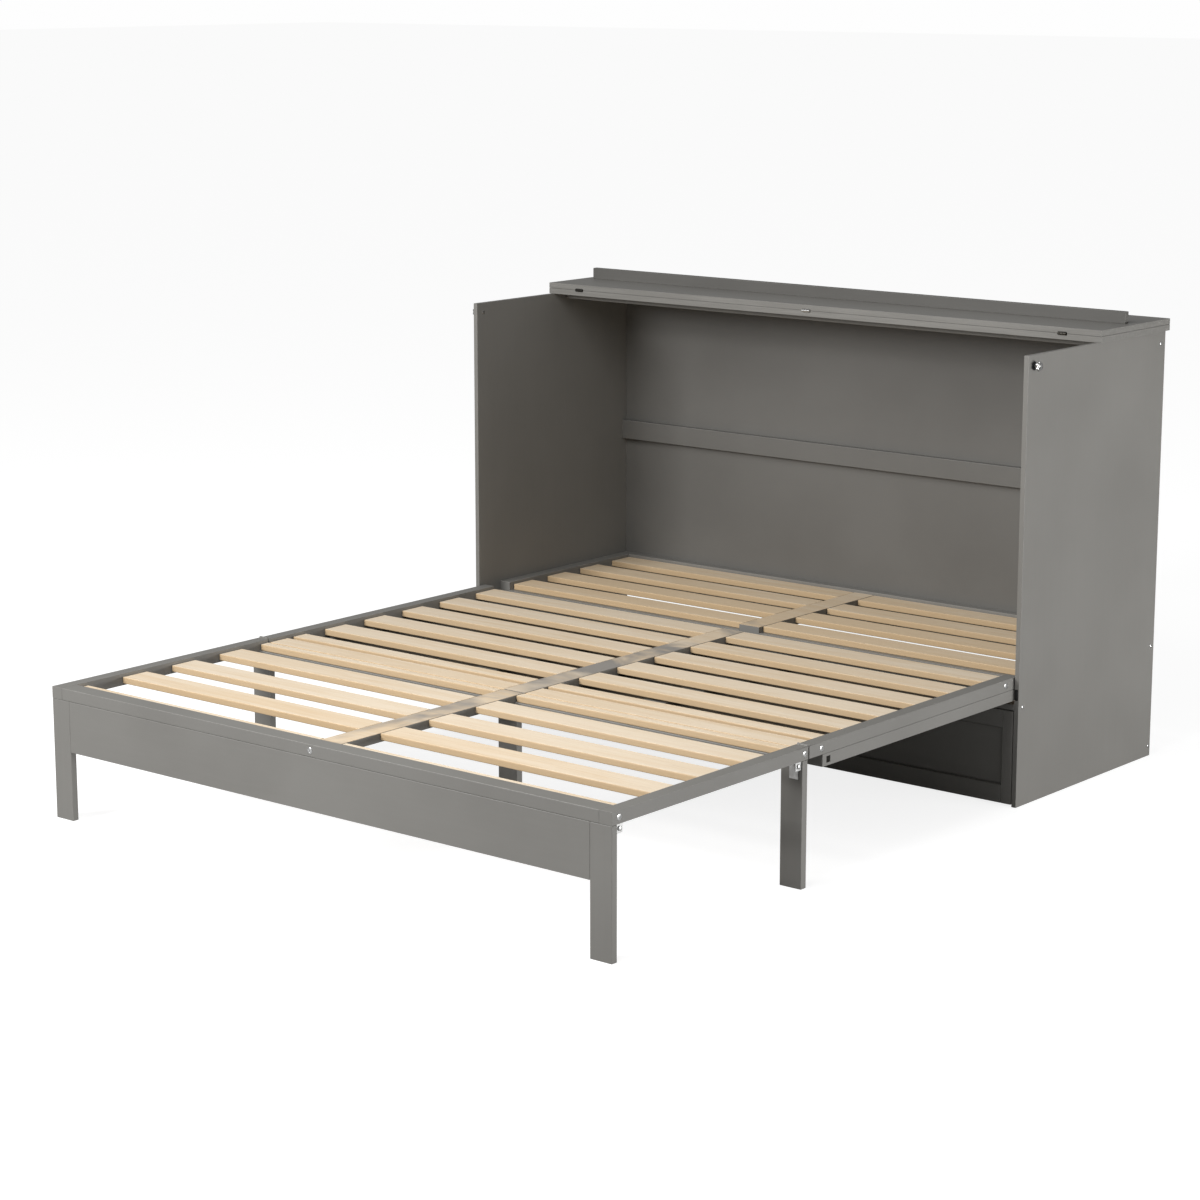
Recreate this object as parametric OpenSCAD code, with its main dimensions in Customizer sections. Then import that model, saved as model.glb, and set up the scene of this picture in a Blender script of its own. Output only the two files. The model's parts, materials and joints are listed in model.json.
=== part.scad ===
// Cabinet bed with a fold-out slatted base, a folding lid and a storage drawer.
// Millimetres. X runs across the bed, -Y towards its foot, +Z up, the floor at z = 0.
// The shapes are laid out from the cabinet's front plane (y = 0), then moved so that
// the origin is the centre of the open bed's footprint.

/* [Cabinet] */
// Width across the two side panels
cab_w = 1640; // [1300:10:2000]
// Height of the side panels
side_h = 1033; // [860:1:1260]
// Depth of the side panels
cab_d = 609; // [500:1:760]
// Thickness of the side panels
side_t = 12; // [10:1:22]
// Thickness of the back panel
back_t = 6; // [3:1:12]
// Height of the back panel's lower edge
back_foot_z = 190; // [180:5:270]
// Height of the batten across the back panel
batten_h = 50; // [30:1:90]
// Height of that batten's lower edge
batten_z = 618; // [400:1:780]
// Thickness of that batten
batten_t = 18; // [10:1:30]
// Height of the rail across the cabinet's foot at the back
low_rail_h = 70; // [40:1:110]
// Thickness of that rail
low_rail_t = 15; // [10:1:25]
// Depth of the cross rail above the drawer, front to back
cross_rail_d = 34; // [20:1:36]
// Thickness of that cross rail
cross_rail_t = 14; // [8:1:18]

/* [Top and lid] */
// Thickness of the fixed top
top_t = 14; // [10:1:25]
// Thickness of the folding flap
flap_t = 13.5; // [9.5:0.5:24]
// How far back from the cabinet's front the fixed top starts
top_start = 303; // [200:1:360]
// Overhang of the top past each side panel
top_over_x = 5; // [0:1:20]
// Overhang of the top past the cabinet's back
top_over_y = 10; // [0:1:30]
// Height of the batten that stands on the flap
lid_batten_h = 28; // [15:1:60]
// Thickness of that batten
lid_batten_t = 15; // [10:1:25]
// Distance from the hinge line to that batten
lid_batten_back = 151; // [60:1:152]
// Height of the stretcher under the fixed top
stretcher_h = 16; // [10:1:60]
// Depth of that stretcher, front to back
stretcher_d = 45; // [10:1:80]

/* [Slatted base] */
// Height of the frames' top edge
deck_h = 303; // [280:1:360]
// Height of the frame rails
rail_h = 27; // [24:1:45]
// Width of the side rails
rail_w = 32; // [20:1:60]
// Width of the rail at the foot
foot_rail_w = 44; // [25:1:70]
// Width of the centre rail
centre_w = 60; // [30:1:90]
// Length of the front section
front_len = 639; // [560:1:760]
// How far the middle section reaches into the cabinet
mid_in = 20; // [5:1:24]
// Where the rear section starts, behind the cabinet's front
rear_start = 82; // [80:1:120]
// Gap between the middle and the front section
seam_gap = 4; // [3:0.5:8]
// Drop from the rails' top edge to the slats
slat_drop = 7; // [2:1:10]
// Thickness of the slats
slat_t = 15; // [8:1:16]
// Width of the slats
slat_w = 74; // [50:1:90]
// Width of the narrower slat before each section's end board
end_slat_w = 44; // [30:1:60]
// Width of the narrower slat beside the foot rail
foot_slat_w = 30; // [20:1:50]
// Width of the board at the middle section's end
mid_board_w = 60; // [30:1:80]
// Width of the board at the front section's end
front_board_w = 26; // [20:1:60]
// Length of the slats' tenons
tenon = 8; // [4:1:12]
// Radius of the bolt heads on the rails
bolt_r = 5.5; // [3:0.5:9]

/* [Door] */
// Thickness of the door that the middle section lies on
door_t = 26.5; // [18:0.5:34]
// Width of the door's frame members
door_member = 60; // [40:1:100]
// Distance of the door's pivots behind the cabinet's front
pivot_in = 24.5; // [15:0.5:30]
// Radius of the pivot pins
pivot_r = 5; // [3:0.5:6]
// How far the lock sockets are set back from the door's free end
socket_in = 21.25; // [15:0.25:60]
// Width of the square lock sockets
socket_w = 14; // [12:0.5:18]
// Thickness of the door's inset panels
panel_t = 9; // [5:1:14]
// How far the frames stand past the door's end
frame_past_door = 46.75; // [10:0.25:60]

/* [Legs] */
// Width of every leg
leg_w = 55; // [40:1:80]
// Thickness of the middle legs
leg_t = 18; // [12:1:22]
// Thickness of the footboard
foot_t = 16; // [12:1:22]
// Height of the footboard's apron
apron_h = 117; // [60:1:180]
// Distance from a leg's face to the pin that it folds on
leg_pin_off = 10; // [9:0.5:12]
// Radius of that pin
leg_pin_r = 3; // [2:0.5:4]

/* [Drawer] */
// Height of the drawer front
drawer_front_h = 219; // [150:1:219]
// Thickness of the drawer front
drawer_front_t = 18; // [12:1:25]
// Width of the drawer front's frame
drawer_member = 48; // [30:1:70]
// Height of the drawer's walls
drawer_wall_h = 130; // [60:1:150]
// Thickness of the drawer's walls
drawer_wall_t = 12; // [8:1:18]
// Length of the drawer behind its front
drawer_len = 540; // [380:1:560]

/* [Locks] */
// Radius of the lock knobs
knob_r = 13; // [9:0.5:20]
// Thickness of the lock knobs
knob_t = 7; // [4:0.5:12]
// Radius of the lock pins
lock_r = 4.5; // [3:0.5:5.5]
// How far each lock slides
lock_travel = 7; // [5:0.5:10]

/* [Clearances] */
// Gap between the bed and each side panel
side_gap = 2; // [1.5:0.25:5]
// Gap between the flap and the closed door
lid_gap = 3; // [1:0.5:8]
// Gap between parts that slide or swing past each other
slide_gap = 0.5; // [0.3:0.1:2]
// Radial clearance of pins in their bores
pin_gap = 0.05; // [0.02:0.01:0.1]
// Gap between the legs' top ends and the frames
leg_gap = 0.5; // [0.3:0.1:3]

/* [Hidden] */
$fn = 48;

// Colours
paint = "#83817c";
wood = "#e1cda8";
steel = "#c9cacb";
black = "#222222";
lining = "#dcd9d2";

// How far cutting shapes reach past the surfaces that they cut
cut = 1;

// Cabinet
inner = cab_w / 2 - side_t;
bed = inner - side_gap;
back_y = cab_d - back_t;
groove_d = 2;
low_rail_in = 2;
low_rail_z = 18;
ledger_w = 18;
ledger_h = 16;
ledger_end_gap = 1;
pocket_floor = 3;
pocket_y = 3;
pocket_d = side_t - pocket_floor;

// Base levels
rail_z = deck_h - rail_h;
slat_top = deck_h - slat_drop;
slat_z = slat_top - slat_t;
rail_in = bed - rail_w;
rear_rail_in = inner - rail_w;
tenon_side = 5;
tenon_t = slat_t / 2;
rear_rail_d = 28;

// Door and the fold
door_top = rail_z - slide_gap;
door_z = door_top - door_t;
pivot_z = door_top - door_t / 2;
door_front = pivot_z + pivot_in + lid_gap - side_h;
door_step = 8;
pivot_depth = 30;
door_stile_count = 2;

// Sections, from the cabinet towards the foot
mid_front = door_front - frame_past_door;
front_rear = mid_front - seam_gap;
foot_y = front_rear - front_len;
foot_in = foot_y + foot_rail_w;
seam_y = mid_front - seam_gap / 2;
seam_z = deck_h + slide_gap;
rear_end = back_y - rear_rail_d;

// Slats: each entry is a slat's rear edge and its width
slat_end_gap = 1;
board_gap = 18;
first_slat_in = 87;
mid_full_slats = 5;
front_full_slats = 3;
rear_slat_count = 4;
mid_first = mid_in - slat_end_gap;
mid_pitch = (mid_first - mid_front - mid_board_w - board_gap - end_slat_w) / mid_full_slats;
mid_slats = concat(
  [for (k = [0:mid_full_slats - 1]) [mid_first - k * mid_pitch, slat_w]],
  [[mid_first - mid_full_slats * mid_pitch, end_slat_w]],
  [[mid_front + mid_board_w, mid_board_w]]
);
front_first = front_rear - first_slat_in;
foot_slat_rear = foot_in + 2 * slat_end_gap + foot_slat_w;
foot_clear = 58;
front_pitch = (front_first - foot_in - foot_clear) / front_full_slats;
front_slats = concat(
  [[front_rear, front_board_w]],
  [for (k = [0:front_full_slats - 1]) [front_first - k * front_pitch, slat_w]],
  [[foot_slat_rear, foot_slat_w]]
);
rear_lead = 15;
rear_first = rear_start + rear_lead + slat_w;
rear_pitch = (rear_end - slat_end_gap - rear_first) / (rear_slat_count - 1);
rear_slats = [for (k = [0:rear_slat_count - 1]) [rear_first + k * rear_pitch, slat_w]];
crossbar_d = 30;

// Top and lid
hinge_r = 3.5;
hinge_pin_r = 1.5;
hinge_out = 1.5;
hinge_leaf_t = 2;
knuckle_share = 0.18;
knuckle_gap = 0.3;
lid_hinge_len = 22;
lid_hinge_leaf = 26;
lid_hinge_in = 97.5;
lid_hinge_x = [for (k = [-1:1]) k * (cab_w / 2 - lid_hinge_in)];
lid_mortise_out = 5;
lid_batten_in = 8;
stretcher_in = 50;
lid_layer_gap = 0.6;
top_z = side_h;
flap_z = top_z + top_t + lid_layer_gap;
lid_axis_y = top_start - hinge_out;
lid_axis_z = flap_z - lid_layer_gap / 2;
top_end = cab_d + top_over_y;
top_half = cab_w / 2 + top_over_x;
lid_batten_half = inner - lid_batten_in;

// Section hinges
fold_hinge_len = 26;
fold_hinge_leaf = 40;
notch_gap = 0.7;

// Legs
leg_top = rail_z - leg_gap;
leg_pin_z = rail_z - leg_pin_off;
ear_r = 8;
ear_t = 3;
ear_in = 6;
ear_x = bed - ear_in;
ear_trim = 1;
ear_plate_w = 22;
ear_plate_t = 3;
ear_plate_drop = 30;
pin_end = 2;
mid_leg_gap = 2;
ear_gap = 0.3;
bracket_r = leg_pin_off - slide_gap;
leg_in = bed - leg_w;
mid_leg_rear = front_rear - mid_leg_gap;
mid_leg_front = mid_leg_rear - leg_t;
mid_pin_y = mid_leg_front - leg_pin_off;
foot_pin_y = foot_y + foot_t + leg_pin_off;
centre_ear_x = leg_w / 2 - ear_in;

// Drawer
drawer_z = 5;
drawer_top = drawer_z + drawer_front_h;
drawer_gap = 2;
cross_rail_z = drawer_top + drawer_gap;
runner_t = 12;
runner_h = 45;
runner_z = 60;
drawer_half = inner - runner_t;
runner_y = drawer_front_t + 6;
runner_web = 2;
runner_play = 1;
drawer_step = 10;
joint_gap = 0.3;
drawer_side_member = 33;
drawer_wall_z = drawer_z + 15;
drawer_bottom_z = drawer_wall_z + 4;
drawer_bottom_t = 6;

// Locks
lock_y = pivot_in;
lock_z = pivot_z + pivot_in - door_front - socket_in;
bush_t = 1.5;
bush_r = 10;
knob_out = cab_w / 2 + bush_t + lock_travel + slide_gap;
lobes = 6;
lobe_share = 0.32;
hub_share = 0.72;
tip_gap = 1;
socket_depth = 14;

// Screws
screw_r = 5;
screw_out = 1.5;
bolt_out = 1.2;
mid_bolt_in = 44;
rear_bolt_out = 33;
front_bolt_in = 11;
side_screws_yz = [
  [cab_d - 21, side_h - 29], [cab_d - 14, rail_z - 3], [cab_d - 10, 25], [17.5, cross_rail_z + 7]
];

// Centre of the open bed's footprint
shift_y = -(foot_y + top_end) / 2;

module placed() {
  translate([0, shift_y, 0]) children();
}

module box(x0, x1, y0, y1, z0, z1) {
  translate([x0, y0, z0]) cube([x1 - x0, y1 - y0, z1 - z0]);
}

module along_x(x0, x1, y, z, r) {
  translate([x0, y, z]) rotate([0, 90, 0]) cylinder(h = x1 - x0, r = r);
}

// ---- cabinet ----

module side_panel() {
  difference() {
    box(inner, cab_w / 2, 0, cab_d, 0, side_h);
    box(inner - cut, inner + pocket_d, -cut, pivot_in + door_t / 2, door_z, door_top);
    along_x(inner - cut, cab_w / 2 + cut, lock_y, lock_z, lock_r + pin_gap);
    back_panel_groove();
  }
}

module back_panel_groove() {
  box(inner - cut, inner + groove_d, back_y, cab_d + cut, back_foot_z, side_h + cut);
}

module side_panel_right() {
  color(paint) placed() side_panel();
}

module side_panel_left() {
  color(paint) placed() mirror([1, 0, 0]) side_panel();
}

module back_panel() {
  x = inner + groove_d;
  color(paint) placed() box(-x, x, back_y, cab_d, back_foot_z, side_h);
}

module back_batten() {
  color(paint) placed() box(-inner, inner, back_y - batten_t, back_y, batten_z, batten_z + batten_h);
}

module lower_back_rail() {
  y1 = cab_d - low_rail_in;
  color(paint) placed() box(-inner, inner, y1 - low_rail_t, y1, low_rail_z, low_rail_z + low_rail_h);
}

module front_cross_rail() {
  color(paint) placed() box(-inner, inner, 0, cross_rail_d, cross_rail_z, cross_rail_z + cross_rail_t);
}

module fixed_top() {
  color(paint) placed() difference() {
    box(-top_half, top_half, top_start, top_end, top_z, top_z + top_t);
    for (x = lid_hinge_x) lid_hinge_mortise(x, top_z + top_t - hinge_leaf_t, top_z + top_t + cut);
  }
}

module top_stretcher() {
  y0 = top_start + stretcher_in;
  color(paint) placed() box(-inner, inner, y0, y0 + stretcher_d, side_h - stretcher_h, side_h);
}

module deck_ledgers() {
  color(paint) placed() for (s = [0, 1]) mirror([s, 0, 0])
    box(inner - ledger_w, inner, rear_start, back_y - ledger_end_gap, rail_z - ledger_h, rail_z);
}

module pivot_blocks() {
  color(black) placed() for (s = [0, 1]) mirror([s, 0, 0]) difference() {
    box(inner, inner + pocket_d, pocket_y, pivot_in + door_t / 2, door_z, door_top);
    along_x(inner - cut, inner + side_t, pivot_in, pivot_z, pivot_r + pin_gap);
  }
}

module side_screws() {
  color(steel) placed() for (s = [0, 1]) mirror([s, 0, 0]) for (p = side_screws_yz)
    along_x(cab_w / 2, cab_w / 2 + screw_out, p[0], p[1], screw_r);
}

module lock_bushes() {
  color(black) placed() for (s = [0, 1]) mirror([s, 0, 0]) difference() {
    along_x(cab_w / 2, cab_w / 2 + bush_t, lock_y, lock_z, bush_r);
    along_x(cab_w / 2 - cut, cab_w / 2 + bush_t + cut, lock_y, lock_z, lock_r + pin_gap);
  }
}

// ---- slats and the rails that hold them ----

module slat_tenons(x0, x1, slat) {
  z = slat_z + (slat_t - tenon_t) / 2;
  box(x0 - tenon, x1 + tenon, slat[0] - slat[1] + tenon_side, slat[0] - tenon_side, z, z + tenon_t);
}

module slat_row(x0, x1, slats) {
  for (slat = slats) {
    box(x0, x1, slat[0] - slat[1], slat[0], slat_z, slat_top);
    slat_tenons(x0, x1, slat);
  }
}

module slotted_rail(x0, x1, y0, y1, top, slats, slot_x0, slot_x1) {
  difference() {
    box(x0, x1, y0, y1, rail_z, top);
    for (slat = slats) slat_tenons(slot_x0, slot_x1, slat);
  }
}

module centre_rail(y0, y1, slats) {
  difference() {
    box(-centre_w / 2, centre_w / 2, y0, y1, rail_z, slat_top);
    for (slat = slats) slat_tenons(centre_w / 2, rail_in, slat);
    for (slat = slats) slat_tenons(-rail_in, -centre_w / 2, slat);
  }
}

module half_bars(y0, y1, x1) {
  for (s = [0, 1]) mirror([s, 0, 0]) box(centre_w / 2, x1, y0, y1, rail_z, slat_z);
}

module rear_frame() {
  color(paint) placed() {
    for (s = [0, 1]) mirror([s, 0, 0])
      slotted_rail(rear_rail_in, inner, rear_start, back_y, deck_h, rear_slats, centre_w / 2, rear_rail_in);
    box(-rear_rail_in, rear_rail_in, rear_end, back_y, rail_z, deck_h);
    half_bars(rear_start, rear_start + crossbar_d, rear_rail_in);
  }
}

module rear_centre_rail() {
  color(paint) placed() centre_rail(rear_start, rear_end, rear_slats);
}

module rear_slats_right() {
  color(wood) placed() slat_row(centre_w / 2, rear_rail_in, rear_slats);
}

module rear_slats_left() {
  color(wood) placed() slat_row(-rear_rail_in, -centre_w / 2, rear_slats);
}

module mid_rail() {
  difference() {
    slotted_rail(rail_in, bed, mid_front, mid_in, deck_h, mid_slats, centre_w / 2, rail_in);
    fold_hinge_notch();
    fold_hinge_mortise(seam_y, seam_y + fold_hinge_leaf);
  }
}

module mid_rail_right() {
  color(paint) placed() mid_rail();
}

module mid_rail_left() {
  color(paint) placed() mirror([1, 0, 0]) mid_rail();
}

module mid_centre_rail() {
  color(paint) placed() centre_rail(mid_front, mid_in, mid_slats);
}

module mid_crossbars() {
  color(paint) placed() {
    half_bars(mid_front, mid_front + crossbar_d, rail_in);
    half_bars(mid_in - crossbar_d, mid_in, rail_in);
  }
}

module mid_slats_right() {
  color(wood) placed() slat_row(centre_w / 2, rail_in, mid_slats);
}

module mid_slats_left() {
  color(wood) placed() slat_row(-rail_in, -centre_w / 2, mid_slats);
}

module front_rail() {
  difference() {
    slotted_rail(rail_in, bed, foot_y, front_rear, deck_h, front_slats, centre_w / 2, rail_in);
    fold_hinge_notch();
    fold_hinge_mortise(seam_y - fold_hinge_leaf, seam_y);
  }
}

module front_rail_right() {
  color(paint) placed() front_rail();
}

module front_rail_left() {
  color(paint) placed() mirror([1, 0, 0]) front_rail();
}

module front_centre_rail() {
  color(paint) placed() centre_rail(foot_in, front_rear, front_slats);
}

module front_joint_rail() {
  color(paint) placed() half_bars(front_rear - crossbar_d, front_rear, rail_in);
}

module foot_rail() {
  color(paint) placed() box(-rail_in, rail_in, foot_y, foot_in, rail_z, deck_h);
}

module front_slats_right() {
  color(wood) placed() slat_row(centre_w / 2, rail_in, front_slats);
}

module front_slats_left() {
  color(wood) placed() slat_row(-rail_in, -centre_w / 2, front_slats);
}

module rail_bolts(ys) {
  z = rail_z + rail_h / 2;
  for (s = [0, 1]) mirror([s, 0, 0]) for (y = ys) along_x(bed, bed + bolt_out, y, z, bolt_r);
}

module mid_bolts() {
  color(steel) placed() rail_bolts([mid_front + mid_bolt_in, -rear_bolt_out]);
}

module front_bolts() {
  color(steel) placed() {
    rail_bolts([front_rear - front_bolt_in, foot_y + foot_rail_w / 2]);
    translate([0, foot_y, rail_z + rail_h / 2]) rotate([90, 0, 0]) cylinder(h = bolt_out, r = bolt_r);
  }
}

// ---- hinges ----

module lid_hinge_mortise(x, z0, z1) {
  half = lid_hinge_len / 2 + notch_gap;
  box(x - half, x + half, top_start - lid_mortise_out, top_start + lid_hinge_leaf, z0, z1);
  notch_r = hinge_r + notch_gap;
  along_x(x - half, x + half, lid_axis_y, lid_axis_z, notch_r);
}

module barrel(x0, x1, y, z) {
  difference() {
    along_x(x0, x1, y, z, hinge_r);
    along_x(x0 - cut, x1 + cut, y, z, hinge_pin_r + pin_gap);
  }
}

module hinge_plate(x, len, y0, y1, z0, axis_y, axis_z) {
  difference() {
    box(x - len / 2, x + len / 2, y0, y1, z0, z0 + hinge_leaf_t);
    along_x(x - len, x + len, axis_y, axis_z, hinge_r);
  }
}

module knuckle_cut(x0, x1, y, z) {
  r = hinge_r + cut;
  box(x0, x1, y - r, y + r, z - r, z + r);
}

module outer_leaf(x, len, y0, y1, z0, axis_y, axis_z) {
  mid = len * knuckle_share;
  difference() {
    union() {
      hinge_plate(x, len, y0, y1, z0, axis_y, axis_z);
      barrel(x - len / 2, x - mid - knuckle_gap, axis_y, axis_z);
      barrel(x + mid + knuckle_gap, x + len / 2, axis_y, axis_z);
    }
    knuckle_cut(x - mid - knuckle_gap, x + mid + knuckle_gap, axis_y, axis_z);
  }
  along_x(x - len / 2, x + len / 2, axis_y, axis_z, hinge_pin_r);
}

module inner_leaf(x, len, y0, y1, z0, axis_y, axis_z) {
  mid = len * knuckle_share;
  difference() {
    union() {
      hinge_plate(x, len, y0, y1, z0, axis_y, axis_z);
      barrel(x - mid, x + mid, axis_y, axis_z);
    }
    knuckle_cut(x - len, x - mid, axis_y, axis_z);
    knuckle_cut(x + mid, x + len, axis_y, axis_z);
  }
}

module lid_hinges_fixed() {
  color(steel) placed() for (x = lid_hinge_x)
    outer_leaf(x, lid_hinge_len, lid_axis_y, top_start + lid_hinge_leaf, top_z + top_t - hinge_leaf_t,
      lid_axis_y, lid_axis_z);
}

module lid_hinges_moving() {
  color(steel) placed() for (x = lid_hinge_x)
    inner_leaf(x, lid_hinge_len, lid_axis_y, top_start + lid_hinge_leaf, flap_z, lid_axis_y, lid_axis_z);
}

module fold_hinge_notch() {
  x = bed - rail_w / 2;
  half = fold_hinge_len / 2 + notch_gap;
  along_x(x - half, x + half, seam_y, seam_z, hinge_r + notch_gap);
}

module fold_hinge_mortise(y0, y1) {
  x = bed - rail_w / 2;
  half = fold_hinge_len / 2 + notch_gap;
  box(x - half, x + half, y0, y1, deck_h - hinge_leaf_t, deck_h + cut);
}

module mid_fold_hinges() {
  x = bed - rail_w / 2;
  color(steel) placed() for (s = [-1, 1])
    outer_leaf(s * x, fold_hinge_len, seam_y, seam_y + fold_hinge_leaf, deck_h - hinge_leaf_t,
      seam_y, seam_z);
}

module front_fold_hinges() {
  x = bed - rail_w / 2;
  color(steel) placed() for (s = [-1, 1])
    inner_leaf(s * x, fold_hinge_len, seam_y - fold_hinge_leaf, seam_y, deck_h - hinge_leaf_t,
      seam_y, seam_z);
}

// ---- top and lid ----

module lid_flap() {
  color(paint) placed() difference() {
    box(-top_half, top_half, top_start, top_end, flap_z, flap_z + flap_t);
    for (x = lid_hinge_x) lid_hinge_mortise(x, flap_z - cut, flap_z + hinge_leaf_t);
  }
}

module lid_batten() {
  y0 = lid_axis_y + lid_batten_back;
  z0 = flap_z + flap_t;
  color(paint) placed() box(-lid_batten_half, lid_batten_half, y0, y0 + lid_batten_t, z0, z0 + lid_batten_h);
}

// ---- door ----

module door_stile() {
  difference() {
    union() {
      box(bed - door_member, bed, door_front, pivot_in, door_z, door_top);
      along_x(bed - door_member, bed, pivot_in, pivot_z, door_t / 2);
    }
    box(bed - socket_depth, bed + cut, door_front + socket_in - socket_w / 2,
      door_front + socket_in + socket_w / 2, pivot_z - socket_w / 2, pivot_z + socket_w / 2);
    along_x(bed - pivot_depth, bed + cut, pivot_in, pivot_z, pivot_r + pin_gap);
  }
}

module door_stile_right() {
  color(paint) placed() door_stile();
}

module door_stile_left() {
  color(paint) placed() mirror([1, 0, 0]) door_stile();
}

module door_rails() {
  x = bed - door_member;
  color(paint) placed() {
    box(-x, x, door_front, door_front + door_member, door_z, door_top);
    box(-x, x, pivot_in - door_member, pivot_in, door_z, door_top);
    along_x(-x, x, pivot_in, pivot_z, door_t / 2);
    for (k = [1:door_stile_count]) {
      cx = -x + 2 * x * k / (door_stile_count + 1);
      box(cx - door_member / 2, cx + door_member / 2, door_front + door_member,
        pivot_in - door_member, door_z, door_top);
    }
  }
}

module door_panels() {
  x = bed - door_member;
  bay = 2 * x / (door_stile_count + 1);
  color(paint) placed() for (k = [0:door_stile_count]) {
    left = k == 0 ? -x : -x + k * bay + door_member / 2;
    right = k == door_stile_count ? x : -x + (k + 1) * bay - door_member / 2;
    box(left, right, door_front + door_member, pivot_in - door_member, door_z + door_step,
      door_z + door_step + panel_t);
  }
}

module door_pivot_pins() {
  color(steel) placed() for (s = [0, 1]) mirror([s, 0, 0])
    along_x(bed - pivot_depth + slide_gap, inner + pocket_d - slide_gap, pivot_in, pivot_z, pivot_r);
}

// ---- legs ----

module bracket_ear(x, pin_y) {
  difference() {
    union() {
      along_x(x, x + ear_t, pin_y, leg_pin_z, bracket_r);
      box(x, x + ear_t, pin_y - bracket_r, pin_y + bracket_r, leg_pin_z, rail_z);
    }
    along_x(x - cut, x + ear_t + cut, pin_y, leg_pin_z, leg_pin_r + pin_gap);
  }
}

module leg_ear(x, pin_y, face_y) {
  side = face_y < pin_y ? -1 : 1;
  difference() {
    union() {
      along_x(x, x + ear_t, pin_y, leg_pin_z, ear_r);
      box(x, x + ear_t, min(pin_y, face_y), max(pin_y, face_y), leg_pin_z - ear_r,
        leg_pin_z + ear_r - ear_trim);
    }
    along_x(x - cut, x + ear_t + cut, pin_y, leg_pin_z, leg_pin_r + pin_gap);
  }
  plate_y = face_y - side * ear_plate_t;
  box(x - ear_plate_w, x, min(face_y, plate_y), max(face_y, plate_y), leg_pin_z - ear_plate_drop,
    leg_pin_z + ear_r - 2 * ear_trim);
}

module leg_pin(x, pin_y) {
  along_x(x - ear_t - ear_gap - pin_end, x + ear_t + pin_end, pin_y, leg_pin_z, leg_pin_r);
}

module leg_brackets() {
  color(steel) placed() {
    for (s = [0, 1]) mirror([s, 0, 0]) {
      bracket_ear(ear_x, mid_pin_y);
      bracket_ear(ear_x, foot_pin_y);
    }
    bracket_ear(centre_ear_x, mid_pin_y);
    for (s = [0, 1]) mirror([s, 0, 0]) {
      leg_pin(ear_x, mid_pin_y);
      leg_pin(ear_x, foot_pin_y);
    }
    leg_pin(centre_ear_x, mid_pin_y);
  }
}

module footboard_apron() {
  color(paint) placed() box(-leg_in, leg_in, foot_y, foot_y + foot_t, leg_top - apron_h, leg_top);
}

module foot_legs() {
  color(paint) placed() for (s = [0, 1]) mirror([s, 0, 0])
    box(leg_in, bed, foot_y, foot_y + foot_t, 0, leg_top);
}

module foot_leg_ears() {
  color(steel) placed() for (s = [0, 1]) mirror([s, 0, 0])
    leg_ear(ear_x - ear_t - ear_gap, foot_pin_y, foot_y + foot_t);
}

module mid_leg(x0) {
  box(x0, x0 + leg_w, mid_leg_front, mid_leg_rear, 0, leg_top);
}

module mid_leg_right() {
  color(paint) placed() mid_leg(leg_in);
}

module mid_leg_left() {
  color(paint) placed() mid_leg(-bed);
}

module mid_leg_centre() {
  color(paint) placed() mid_leg(-leg_w / 2);
}

module mid_leg_ear_right() {
  color(steel) placed() leg_ear(ear_x - ear_t - ear_gap, mid_pin_y, mid_leg_front);
}

module mid_leg_ear_left() {
  color(steel) placed() mirror([1, 0, 0]) leg_ear(ear_x - ear_t - ear_gap, mid_pin_y, mid_leg_front);
}

module mid_leg_ear_centre() {
  color(steel) placed() leg_ear(centre_ear_x - ear_t - ear_gap, mid_pin_y, mid_leg_front);
}

// ---- drawer ----

module drawer_front() {
  color(paint) placed() box(-bed, bed, drawer_step, drawer_front_t, drawer_z, drawer_top);
}

module drawer_frame() {
  x = bed - drawer_side_member;
  rail_half = x - joint_gap;
  color(paint) placed() {
    for (s = [0, 1]) mirror([s, 0, 0]) box(x, bed, 0, drawer_step, drawer_z, drawer_top);
    box(-rail_half, rail_half, 0, drawer_step, drawer_z, drawer_z + drawer_member);
    box(-rail_half, rail_half, 0, drawer_step, drawer_top - drawer_member, drawer_top);
  }
}

module drawer_walls() {
  y0 = drawer_front_t;
  z0 = drawer_wall_z;
  color(lining) placed() {
    for (s = [0, 1]) mirror([s, 0, 0])
      box(drawer_half - drawer_wall_t, drawer_half, y0, y0 + drawer_len, z0, z0 + drawer_wall_h);
    box(-drawer_half + drawer_wall_t, drawer_half - drawer_wall_t, y0 + drawer_len - drawer_wall_t,
      y0 + drawer_len, z0, z0 + drawer_wall_h);
  }
}

module drawer_bottom() {
  w = drawer_half - drawer_wall_t;
  y1 = drawer_front_t + drawer_len - drawer_wall_t;
  color(lining) placed()
    box(-w, w, drawer_front_t, y1, drawer_bottom_z, drawer_bottom_z + drawer_bottom_t);
}

module drawer_runners_fixed() {
  y1 = runner_y + drawer_len;
  lip = runner_web + runner_play;
  color(steel) placed() for (s = [0, 1]) mirror([s, 0, 0]) difference() {
    box(drawer_half + runner_t / 2, inner, runner_y, y1, runner_z, runner_z + runner_h);
    box(drawer_half, inner - runner_web, runner_y - cut, y1 + cut, runner_z + lip,
      runner_z + runner_h - lip);
  }
}

module drawer_runners_moving() {
  y0 = runner_y + 2 * runner_play;
  lip = runner_web + 3 * runner_play;
  color(steel) placed() for (s = [0, 1]) mirror([s, 0, 0])
    box(drawer_half, inner - runner_web - runner_play, y0, y0 + drawer_len - 4 * runner_play,
      runner_z + lip, runner_z + runner_h - lip);
}

// ---- locks ----

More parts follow.
